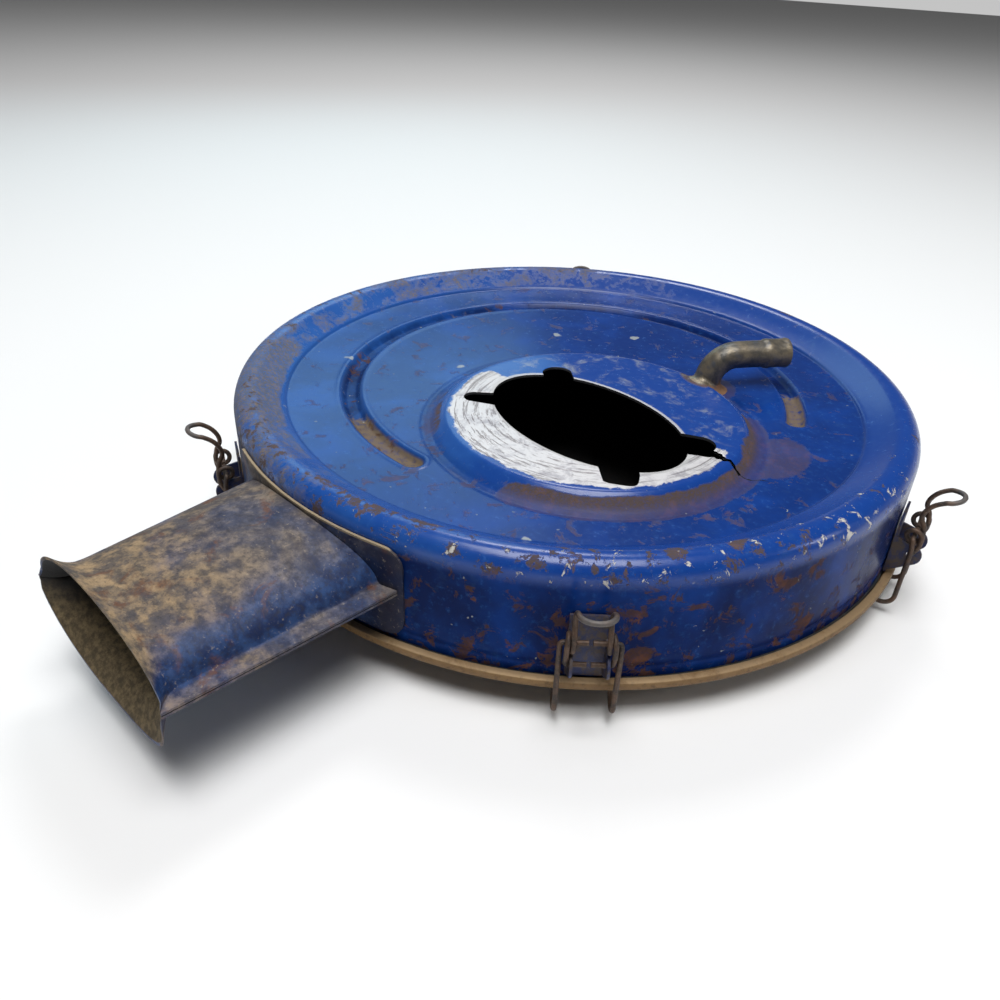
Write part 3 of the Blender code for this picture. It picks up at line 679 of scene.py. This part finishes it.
def inside_opening(x, y):
    """Whether points, along the opening's own axes, are in the oval or one of its four notches."""
    found = (x / OPENING_HALF_LENGTH) ** 2 + (y / OPENING_HALF_WIDTH) ** 2 < 1
    for (notch_x, notch_y), radius in ROUND_NOTCHES:
        found |= np.hypot(x - notch_x, y - notch_y) < radius
    dx, dy = x - SLOT_START[0], y - SLOT_START[1]
    run_x, run_y = SLOT_RUN
    t = np.clip((dx * run_x + dy * run_y) / (run_x**2 + run_y**2), 0, 1)
    found |= np.hypot(dx - run_x * t, dy - run_y * t) < SLOT_RADIUS
    dx, dy = x - SQUARE_NOTCH[0], y - SQUARE_NOTCH[1]
    c, s = SQUARE_NOTCH_HEADING
    along, across = SQUARE_NOTCH_HALF
    found |= (np.abs(dx * c + dy * s) / along) ** 4 + (np.abs(dy * c - dx * s) / across) ** 4 < 1
    return found


def from_opening(x, y):
    """A point on the opening's own axes, in plan."""
    c, s = around(OPENING_ANGLE)
    return OPENING_CENTRE[0] + x * c - y * s, OPENING_CENTRE[1] + x * s + y * c


def opening_reach(angles):
    """How far the opening's edge is from its centre along each heading."""
    trial = np.arange(28.0, 64.0, 0.05)
    c = np.cos(angles)[:, None]
    s = np.sin(angles)[:, None]
    hit = inside_opening(trial * c, trial * s)
    return trial[hit.shape[1] - 1 - np.argmax(hit[:, ::-1], axis=1)]


def tear_edge(steps=60):
    """Outline of the tear that wanders out of the right-hand notch and narrows to a crack."""
    u = np.linspace(0, 1, steps)
    x = TEAR_START[0] + TEAR_LENGTH * u
    ragged = 0.45 * np.sin(19 * u) + 0.3 * np.sin(47 * u + 1)
    y = TEAR_START[1] + TEAR_RISE * np.sqrt(u) + ragged * (1 - 0.4 * u)
    half = TEAR_END_HALF_WIDTH + TEAR_HALF_WIDTH * (1 - u) ** 2.3
    x[0] = TEAR_ROOT_X
    upper = np.column_stack(from_opening(x, y + half))
    lower = np.column_stack(from_opening(x, y - half + 0.3 * np.sin(37 * u)))
    return np.vstack([lower, upper[::-1]])


def inside_polygon(x, y, polygon):
    """Whether each point is inside a closed outline, by counting the edges it sees."""
    found = np.zeros(len(x), bool)
    for (ax, ay), (bx, by) in zip(polygon, np.roll(polygon, -1, axis=0)):
        crosses = (ay > y) != (by > y)
        with np.errstate(divide="ignore", invalid="ignore"):
            found ^= crosses & (x < (bx - ax) * (y - ay) / (by - ay) + ax)
    return found


def disc_height(x, y):
    """Height of the pressed disc with its raised seat, before the groove is taken off."""
    from_collar = np.hypot(x - COLLAR_CENTRE[0], y - COLLAR_CENTRE[1])
    width = COLLAR_BASE_RADIUS - COLLAR_SEAT_RADIUS
    z = DISC_Z + COLLAR_HEIGHT * ramp((COLLAR_BASE_RADIUS + 0.2 - from_collar) / width)
    z -= 0.45 * np.exp(-(((from_collar - 76.5) / 1.6) ** 2))
    return z


def groove_depth(x, y):
    """How far the C-shaped groove lies below the disc, less its raised lips."""
    angle = np.degrees(np.arctan2(y, x)) % 360
    off = np.abs(np.hypot(x, y) - GROOVE_RADIUS)
    within = (angle > GROOVE_START) & (angle < GROOVE_END)
    tips = []
    for end in (GROOVE_START, GROOVE_END):
        c, s = around(end)
        tips.append(np.hypot(x - GROOVE_RADIUS * c, y - GROOVE_RADIUS * s))
    off = np.where(within, off, np.minimum(*tips))
    bottom = GROOVE_DEPTH * ramp((GROOVE_HALF_WIDTH + 0.3 - off) / 2.3, 9.0)
    lip = 0.35 * np.exp(-(((off - GROOVE_HALF_WIDTH - 1.6) / 1.1) ** 2))
    return bottom - lip


def canister_profile():
    """(radius, z) of the outside from the disc's edge over the crease and rolled rim to the foot."""
    roll = (WALL_RADIUS - RIM_ROLL_RADIUS, RIM_TOP_Z - RIM_ROLL_RADIUS)
    reach = math.hypot(DISC_Z - roll[1], CREASE_RADIUS - roll[0])
    heading = math.degrees(math.atan2(DISC_Z - roll[1], CREASE_RADIUS - roll[0])) % 360
    leave = heading - math.degrees(math.acos(RIM_ROLL_RADIUS / reach))
    top = arc(roll, RIM_ROLL_RADIUS, leave, 0, 22)
    start = (CREASE_RADIUS + 1.3, DISC_Z + 1.5)
    profile = [(CREASE_RADIUS - 1.0, DISC_Z + 0.02), (CREASE_RADIUS - 0.5, DISC_Z + 0.14),
               (CREASE_RADIUS - 0.1, DISC_Z + 0.45), (CREASE_RADIUS + 0.2, DISC_Z + 0.85),
               (CREASE_RADIUS + 0.6, DISC_Z + 1.22), start]
    for i in range(1, 8):
        u = i / 8
        sag = 0.2 * math.sin(math.pi * u)
        r, z = (a + (b - a) * u for a, b in zip(start, top[0]))
        profile.append((r, z - sag))
    profile += top
    wall = [52, 46, 40, 34, 28, 23.5, 21.6, 20.8, 20.0, 18.6, WALL_FOOT_Z]
    bead = {21.6: -0.15, 20.8: -0.45, 20.0: -0.15}
    profile += [(WALL_RADIUS + bead.get(z, 0.0), z) for z in wall]
    return profile


def build_canister(paint, inner_paint):
    """Rings from the opening out to the rim and down the wall, less the tear and the inlet."""
    count = SECTORS
    angles = np.linspace(0, 2 * math.pi, count, endpoint=False)
    start = opening_reach(angles)
    ahead = angles + math.radians(OPENING_ANGLE)
    dx, dy = np.cos(ahead), np.sin(ahead)
    cx, cy = OPENING_CENTRE
    rim = CREASE_RADIUS - 1.6
    along = cx * dx + cy * dy
    end = -along + np.sqrt(along**2 - (cx**2 + cy**2) + rim**2)
    rows = []
    # The first rings smooth the notched edge into an oval, so that the later ones have no folds
    past = 1 / np.hypot(np.cos(angles) / SMOOTH_OVAL[0], np.sin(angles) / SMOOTH_OVAL[1])
    past = np.maximum(past, start + 0.6)
    for u in np.concatenate([np.linspace(0, 1, SEAT_RINGS), np.linspace(1, 2, DISC_RINGS)[1:]]):
        reach = start + (past - start) * u if u <= 1 else past + (end - past) * (u - 1)
        x, y = cx + reach * dx, cy + reach * dy
        z = disc_height(x, y) - groove_depth(x, y)
        if u == 0:
            z = z - 0.12
        rows.append(np.column_stack([x, y, z]))
    ux, uy = rows[-1][:, 0] / rim, rows[-1][:, 1] / rim
    for radius, z in canister_profile():
        rows.append(np.column_stack([ux * radius, uy * radius, np.full(count, z)]))
    outer = len(rows)
    inner_rows = [row.copy() for row in rows[::4]] + [rows[-1].copy()]
    for i, row in enumerate(inner_rows):
        radius = np.hypot(row[:, 0], row[:, 1])
        on_roll = radius > WALL_RADIUS - RIM_ROLL_RADIUS
        row[:, :2] *= np.where(radius > 150, (radius - SHEET) / radius, 1.0)[:, None]
        row[:, 2] -= np.where(on_roll, np.where(row[:, 2] > 60, SHEET, 0.0), SHEET)
    inner_rows[-1][:, 2] = WALL_FOOT_Z
    grid = np.vstack(rows + inner_rows[::-1])
    total = outer + len(inner_rows)
    tear = tear_edge()
    tearing = np.zeros(total * count, bool)
    faces = []
    index = np.arange(count)
    following = (index + 1) % count
    is_inner = []
    keep_points = np.zeros(len(grid), bool)
    for i in range(total):
        here, there = i * count, (i + 1) % total * count
        quad = np.column_stack([here + index, here + following, there + following, there + index])
        middle = grid[quad].mean(axis=1)
        gone = inside_polygon(middle[:, 0], middle[:, 1], tear) & (middle[:, 2] > 50)
        aside = np.abs(middle[:, 0]) / INLET_HALF[0]
        above = np.abs(middle[:, 2] - INLET_CENTRE_Z) / INLET_HALF[1]
        gone |= (aside**2.6 + above**2.6 < 1) & (middle[:, 1] < -140)
        tearing[quad[gone].ravel()] = True
        keep_points[quad[~gone].ravel()] = True
        faces += [tuple(q) for q in quad[~gone].tolist()]
        is_inner += [i >= outer] * int((~gone).sum())
    edge = np.flatnonzero(tearing & keep_points & (grid[:, 2] > 50))
    closed = np.vstack([tear, tear[:1]])
    # The points beside the tear move onto its outline, so that its edge is clean
    for v in edge:
        if v >= outer * count:
            continue
        p = grid[v, :2]
        a, b = closed[:-1], closed[1:]
        leg = b - a
        t = np.clip(((p - a) * leg).sum(1) / (leg**2).sum(1), 0, 1)
        near = a + leg * t[:, None]
        best = near[np.argmin(((near - p) ** 2).sum(1))]
        if np.hypot(*(best - p)) < 1.6:
            grid[v, :2] = best
            grid[v, 2] = disc_height(best[:1], best[1:])[0] - 0.1
    mesh = bpy.data.meshes.new("canister")
    mesh.from_pydata((grid * MM).tolist(), [], faces)
    mesh.materials.append(paint)
    mesh.materials.append(inner_paint)
    mesh.polygons.foreach_set("material_index", [int(v) for v in is_inner])
    mesh.polygons.foreach_set("use_smooth", [True] * len(mesh.polygons))
    shape = bmesh.new()
    shape.from_mesh(mesh)
    loose = [v for v in shape.verts if not v.link_faces]
    bmesh.ops.delete(shape, geom=loose, context="VERTS")
    bmesh.ops.recalc_face_normals(shape, faces=shape.faces)
    shape.to_mesh(mesh)
    shape.free()
    mesh.set_sharp_from_angle(angle=math.radians(CANISTER_SHARP_ANGLE))
    obj = bpy.data.objects.new("canister", mesh)
    bpy.context.scene.collection.objects.link(obj)
    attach(obj, "root")
    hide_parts("canister_shell")
    return obj


# -------------------- snorkel


def shell_grids(upper):
    """Outer and inner grids of one snorkel half, from the wall to the flared mouth."""
    way = 1 if upper else -1
    peak = (ARCH_TOP_Z if upper else ARCH_BOTTOM_Z) - SEAM_Z
    lip = (UPPER_LIP_Z if upper else LOWER_LIP_Z) - SEAM_Z
    ahead = -UPPER_LIP_BACK if upper else LOWER_LIP_AHEAD
    outer, inner = [], []
    stations = [0.0, 0.02, 0.05, *np.linspace(0.1, 0.8, 8), *np.linspace(FLARE_START, 1.0, 12)]
    for f in stations:
        flare = max(0.0, (f - FLARE_START) / (1 - FLARE_START)) ** 1.8
        half = FLANGE_HALF_AT_WALL + (FLANGE_HALF_AT_MOUTH - FLANGE_HALF_AT_WALL) * f
        spread = max(0.0, (f - SPREAD_START) / (1 - SPREAD_START)) ** 2
        taper = min(1.0, f / FLARE_START) * (1 - spread)
        far_half = half - FLANGE_WIDTH + FAR_FLANGE_WIDTH - FAR_TAPER * taper
        near = half - FLANGE_WIDTH + (FLANGE_WIDTH - LIP_EDGE) * spread
        far = far_half - FAR_FLANGE_WIDTH + (FAR_FLANGE_WIDTH - LIP_EDGE) * spread
        height = peak - way * NECK_DROP * taper + (lip - peak) * flare
        corner = 1.0 if upper else 1.0 - LOWER_LIP_SQUARING * spread
        for grid, thick in ((outer, SNORKEL_SHEET), (inner, 0.0)):
            base = way * (SEAM_HALF_GAP + thick)
            fold, far_fold = half - near, far_half - far
            row = [(-far_half, base), (-far_half + 0.4 * far_fold, base), (-far - 0.22 * far_fold, base),
                   (-far - 0.09 * far_fold, base + way * 0.02 * far_fold)]
            for i in range(1, ARCH_STEPS):
                angle = math.pi * (1 - i / ARCH_STEPS)
                c = math.cos(angle)
                side, power = (near, corner) if c > 0 else (far, 1.0)
                x = (side - (SNORKEL_SHEET - thick)) * math.copysign(abs(c) ** power, c)
                rise = height - way * (SNORKEL_SHEET - thick) - base
                row.append((x, base + rise * math.sin(angle) ** power))
            row += [(near + 0.09 * fold, base + way * 0.02 * fold), (near + 0.22 * fold, base),
                    (half - 0.4 * fold, base), (half, base)]
            placed = []
            for x, z in row:
                root = -math.sqrt(SNORKEL_ROOT_RADIUS**2 - x * x)
                edge = min(1.0, abs(z - base) / 3.0)
                mouth = -(MOUTH_REACH + ahead * edge * flare)
                placed.append((x, root + (mouth - root) * f, SEAM_Z + z))
            grid.append(placed)
    return outer, inner


def sheet(outer, inner):
    """Points and faces of a sheet between two equal grids."""
    rows, columns = len(outer), len(outer[0])
    points = [p for row in outer for p in row] + [p for row in inner for p in row]
    shift = rows * columns
    faces = []
    for i in range(rows - 1):
        for j in range(columns - 1):
            a = i * columns + j
            quad = (a, a + 1, a + columns + 1, a + columns)
            faces += [quad, tuple(shift + v for v in quad)]
    for i in range(rows - 1):
        for a in (i * columns, i * columns + columns - 1):
            faces.append((a, a + columns, shift + a + columns, shift + a))
    for j in range(columns - 1):
        for a in (j, (rows - 1) * columns + j):
            faces.append((a, a + 1, shift + a + 1, shift + a))
    return points, faces


def build_snorkel(paint, inside):
    for upper, name in ((True, "upper"), (False, "lower")):
        points, faces = sheet(*shell_grids(upper))
        obj = mesh_piece(f"snorkel_{name}", points, faces, paint, node=f"snorkel_{name}_shell")
        obj.data.materials.append(inside)
        inner = len(points) // 2
        for face in obj.data.polygons:
            face.material_index = int(min(face.vertices) >= inner)


def build_breather(steel):
    c, s = around(TUBE_HEADING)
    run = [(0.0, DISC_Z - 5.0), (0.0, DISC_Z)]
    run += arc((TUBE_BEND_RADIUS, TUBE_AXIS_Z - TUBE_BEND_RADIUS), TUBE_BEND_RADIUS, 180, 90, 18)
    radii = [TUBE_RADIUS] * len(run)
    bead, end, swell = TUBE_REACH - TUBE_BEAD_LENGTH, TUBE_REACH, TUBE_BEAD_RADIUS
    ends = [(bead - 2.0, TUBE_RADIUS), (bead - 1.0, 6.6), (bead, 7.1), (bead + 1.2, swell),
            (bead + 3.0, 7.0), (end - 5.0, 6.9), (end - 2.2, 7.0), (end - 1.0, swell),
            (end - 0.3, 7.1), (end, 6.6)]
    run += [(along, TUBE_AXIS_Z) for along, _ in ends]
    radii += [radius for _, radius in ends]
    path = [(TUBE_FOOT[0] + a * c, TUBE_FOOT[1] + a * s, z) for a, z in run]
    skin = tube_rings(path, radii, TUBE_SIDES)
    bore = tube_rings(path, [TUBE_BORE_RADIUS] * len(path), TUBE_SIDES)
    points, faces = strips(skin + bore[::-1], closed=True)
    mesh_piece("breather", points, faces, steel, node="breather_tube")
    fillet = ((0.0, 3.4), (0.35, 2.6), (0.9, 1.3), (2.0, 0.45), (3.4, 0.02), (3.4, -0.8), (-0.8, -0.8),
              (-0.8, 3.4))
    ring = []
    for i in range(BRAZE_SECTORS):
        angle = 360.0 * i / BRAZE_SECTORS
        a, b = around(angle)
        section = []
        for lift, out in fillet:
            wide = TUBE_RADIUS + out * (1 + 0.12 * math.sin(3 * math.radians(angle)))
            x, y = TUBE_FOOT[0] + wide * a, TUBE_FOOT[1] + wide * b
            base = float(disc_height(np.array([x]), np.array([y]))[0])
            section.append((x, y, base + lift))
        ring.append(section)
    points, faces = strips(ring, closed=True)
    mesh_piece("breather_braze", points, faces, steel)


def build_cover(metal):
    ring, outer, top = COVER_RING_Z, COVER_RADIUS, COVER_LIP_Z
    profile = [(161.2, 15.0), (161.25, top - 0.5), (161.7, top - 0.05), (162.6, top), (outer - 0.8, top),
               (outer - 0.2, top - 0.3), (outer, top - 0.9), (outer, top - 2.0)]
    profile += arc((outer - 1.9, ring + 1.9), 1.9, 0, -90, 6)
    profile += [(150.0, ring), (114.0, ring), (112.0, ring - 0.6), (98.8, 0.5), (96.5, 0.0), (3.0, 0.0)]
    profile += [(3.0, 1.0), (96.2, 1.0), (98.0, 1.5), (111.0, 13.2), (113.0, 13.9), (160.4, 13.9),
                (161.1, 14.2)]
    points, faces = revolved(profile, COVER_SECTORS)
    count = len(profile)
    low = profile.index((3.0, 0.0))
    for corner in (low, low + 1):
        faces.append(tuple(i * count + corner for i in range(COVER_SECTORS)))
    # Those two discs close the middle, so the small ring of faces between them goes
    keep = []
    for face in faces:
        if len(face) == 4 and {v % count for v in face} == {low, low + 1}:
            continue
        keep.append(face)
    mesh_piece("cover", points, keep, metal, node="cover_lid")


# -------------------- wires


def smooth_path(points, steps=5):
    """A Catmull-Rom curve through the points."""
    p = [np.asarray(q, float) for q in points]
    p = [2 * p[0] - p[1]] + p + [2 * p[-1] - p[-2]]
    path = []
    for a, b, c, d in zip(p, p[1:], p[2:], p[3:]):
        for i in range(steps):
            t = i / steps
            path.append(0.5 * (2 * b + (c - a) * t + (2 * a - 5 * b + 4 * c - d) * t * t
                               + (3 * b - a - 3 * c + d) * t**3))
    path.append(p[-2])
    return path


def rounded(points, radius, steps=6):
    """A path through the points with each corner rounded off."""
    points = [np.asarray(p, float) for p in points]
    path = [points[0]]
    for before, corner, after in zip(points, points[1:], points[2:]):
        back, ahead = before - corner, after - corner
        reach = min(radius, 0.45 * np.linalg.norm(back), 0.45 * np.linalg.norm(ahead))
        start = corner + back / np.linalg.norm(back) * reach
        end = corner + ahead / np.linalg.norm(ahead) * reach
        for i in range(steps + 1):
            u = i / steps
            path.append((1 - u) ** 2 * start + 2 * u * (1 - u) * corner + u * u * end)
    return path + [points[-1]]


def lever_path():
    """The lever wire: bracket eye, leg, a full turn round the hook's wire, and the finger loop."""
    p, h = LEVER_PIVOT, HOOK_PIVOT
    wide, tip, rise = LEVER_HALF, LEVER_TIP_HALF, LEVER_RISE_RADIUS
    half = rounded([(p[0], WIRE_GAP, p[1]), (p[0], wide, p[1]), (rise, wide, 35.0), (rise, wide, h[1])], 1.6)
    turns = 28
    for i in range(1, turns + 1):
        c, s = around(360.0 * i / turns)
        half.append(np.array((h[0] + EYE_RADIUS * c, wide - (wide - tip) * i / turns, h[1] + EYE_RADIUS * s)))
    run = [(rise, tip, h[1]), (169.5, tip, 44.0), (167.7, tip, 47.5), (168.2, tip, 51.0), (rise, tip, 54.5)]
    for i in range(5):
        c, s = around(90 - 22.5 * i)
        run.append((174.0 + 6.0 * c, tip * s, 57.0 + 1.5 * c))
    return half + smooth_path(run)[1:]


def hook_path():
    """The hook wire: cross bar in the lever's eyes, leg, and the catch under the cover."""
    h = HOOK_PIVOT
    wide, leg = HOOK_HALF, HOOK_LEG_RADIUS
    half = rounded([(h[0], WIRE_GAP, h[1]), (h[0], wide, h[1]), (leg, wide, 34.0), (leg, wide, 10.0)], 1.4)
    half = half[:-1] + [np.array((r, wide, z)) for r, z in arc((leg - 5.0, 10.0), 5.0, 0, -180, 16)]
    catch = leg - 10.0
    return half + rounded([(catch, wide, 10.0), (catch, wide, 11.6), (catch, 0.0, 11.6)], 0.7)[1:]


def build_wire(kind, latch, half, pivot, steel):
    azimuth = LATCHES[latch]
    full = list(half) + [p * np.array((1, -1, 1)) for p in half[-2::-1]]
    path = [(r - pivot[0], t, z - pivot[1]) for r, t, z in full]
    rings = tube_rings(path, [WIRE_RADIUS] * len(path), WIRE_SIDES)
    points, faces = strips(rings)
    obj = mesh_piece(f"{latch}_{kind}_wire", points, faces, steel, f"{latch}_{kind}",
                     f"latch_{latch}_{kind}")
    c, s = around(azimuth)
    turn = Matrix.Rotation(math.radians(azimuth), 4, "Z")
    obj.matrix_world = Matrix.Translation((pivot[0] * c * MM, pivot[0] * s * MM, pivot[1] * MM)) @ turn


# -------------------- scene


def build_stage():
    ground = Graph("pale_floor")
    ground.finish((0.82, 0.82, 0.82), 0.9, specular=0.2)
    mesh = bpy.data.meshes.new("floor")
    reach = FLOOR_HALF
    corners = [(-reach, -reach, 0), (reach, -reach, 0), (reach, reach, 0), (-reach, reach, 0)]
    mesh.from_pydata(corners, [], [(0, 1, 2, 3)])
    mesh.materials.append(ground.material)
    floor = bpy.data.objects.new("floor", mesh)
    bpy.context.scene.collection.objects.link(floor)


def add_light(name, place, target, size, power, colour=(1, 1, 1)):
    data = bpy.data.lights.new(name, "AREA")
    data.shape = "RECTANGLE"
    data.size, data.size_y = size
    data.energy = power
    data.color = colour
    lamp = bpy.data.objects.new(name, data)
    lamp.location = place
    lamp.rotation_euler = (Vector(target) - Vector(place)).to_track_quat("-Z", "Y").to_euler()
    bpy.context.scene.collection.objects.link(lamp)


def build_lights():
    world = bpy.data.worlds.new("studio")
    bpy.context.scene.world = world
    world.use_nodes = True
    world.node_tree.nodes["Background"].inputs[0].default_value = (1.0, 1.0, 1.0, 1.0)
    # A pale horizon under a dim sky, so the flat top mirrors little
    nodes = world.node_tree.nodes
    heading = nodes.new("ShaderNodeTexCoord")
    split = nodes.new("ShaderNodeSeparateXYZ")
    fade = nodes.new("ShaderNodeMapRange")
    for socket, value in zip(fade.inputs[1:5], (0.0, SKY_HEIGHT, HORIZON, SKY)):
        socket.default_value = value
    world.node_tree.links.new(heading.outputs["Generated"], split.inputs[0])
    world.node_tree.links.new(split.outputs["Z"], fade.inputs[0])
    world.node_tree.links.new(fade.outputs[0], nodes["Background"].inputs[1])
    add_light("top", (0.25, -0.25, 1.5), (0, 0, 0.05), (0.9, 0.9), 25.0)
    add_light("sky_card", (-0.92, 0.50, 0.75), (0, -0.1, 0.05), (0.75, 0.5), 2.0, (0.55, 0.88, 1.0))
    add_light("floor_back", (-0.9, 1.0, 1.9), (-0.7, 0.9, 0.0), (0.6, 0.6), 15.0)
    add_light("back_right", (1.05, 0.55, 0.55), (0.05, 0, 0.05), (0.16, 0.2), 1.2)


def build_camera():
    forward = Vector(CAMERA_FORWARD).normalized()
    right = forward.cross(Vector((0, 0, 1))).normalized()
    up = right.cross(forward)
    c, s = around(CAMERA_ROLL)
    right, up = c * right + s * up, c * up - s * right
    data = bpy.data.cameras.new("camera")
    data.lens = CAMERA_LENS
    data.sensor_width = CAMERA_SENSOR
    data.clip_start = 0.01
    camera = bpy.data.objects.new("camera", data)
    rotation = Matrix((right, up, -forward)).transposed().to_4x4()
    camera.matrix_world = Matrix.Translation(CAMERA_PLACE) @ rotation
    bpy.context.scene.collection.objects.link(camera)
    bpy.context.scene.camera = camera


def dress(node, material):
    """Gives a CAD node that stays visible its own look."""
    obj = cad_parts[node]
    obj.data.materials.clear()
    obj.data.materials.append(material)


paint = housing_paint()
intake = snorkel_paint()
wire = wire_steel()
tube = tube_steel()
bracket = bracket_steel()
# The canister's inside faces are near black: painted shade for the dark interior
build_canister(paint, grimy("inside_painted_shade", CRACK_AND_SHADE_BLACK, (0.03, 0.03, 0.034)))
build_snorkel(intake, snorkel_inside())
build_breather(tube)
build_cover(cover_metal())
for latch in LATCHES:
    build_wire("lever", latch, lever_path(), LEVER_PIVOT, wire)
    build_wire("hook", latch, hook_path(), HOOK_PIVOT, wire)
    dress(f"latch_{latch}_bracket", bracket)
dress("snorkel_saddle_plate", intake)
dress("cover_gasket", grimy("old_rubber", (0.01, 0.01, 0.01), (0.03, 0.03, 0.03)))
for end in ("top", "bottom"):
    dress(f"element_{end}_seal", grimy(f"{end}_seal_rubber", (0.02, 0.02, 0.022), (0.05, 0.048, 0.045)))
dress("element_pleated_paper", grimy("filter_paper", (0.12, 0.09, 0.05), (0.24, 0.19, 0.11), 1.5, 0.95))
# The filter's screens are near black: painted shade for the dark interior
for side in ("inner", "outer"):
    shaded_screen = grimy(f"{side}_screen_painted_shade", (0.02, 0.021, 0.024), (0.05, 0.05, 0.055), 2, 0.6)
    dress(f"element_{side}_screen", shaded_screen)
build_stage()
build_lights()
build_camera()
bpy.context.scene.view_settings.view_transform = "Standard"
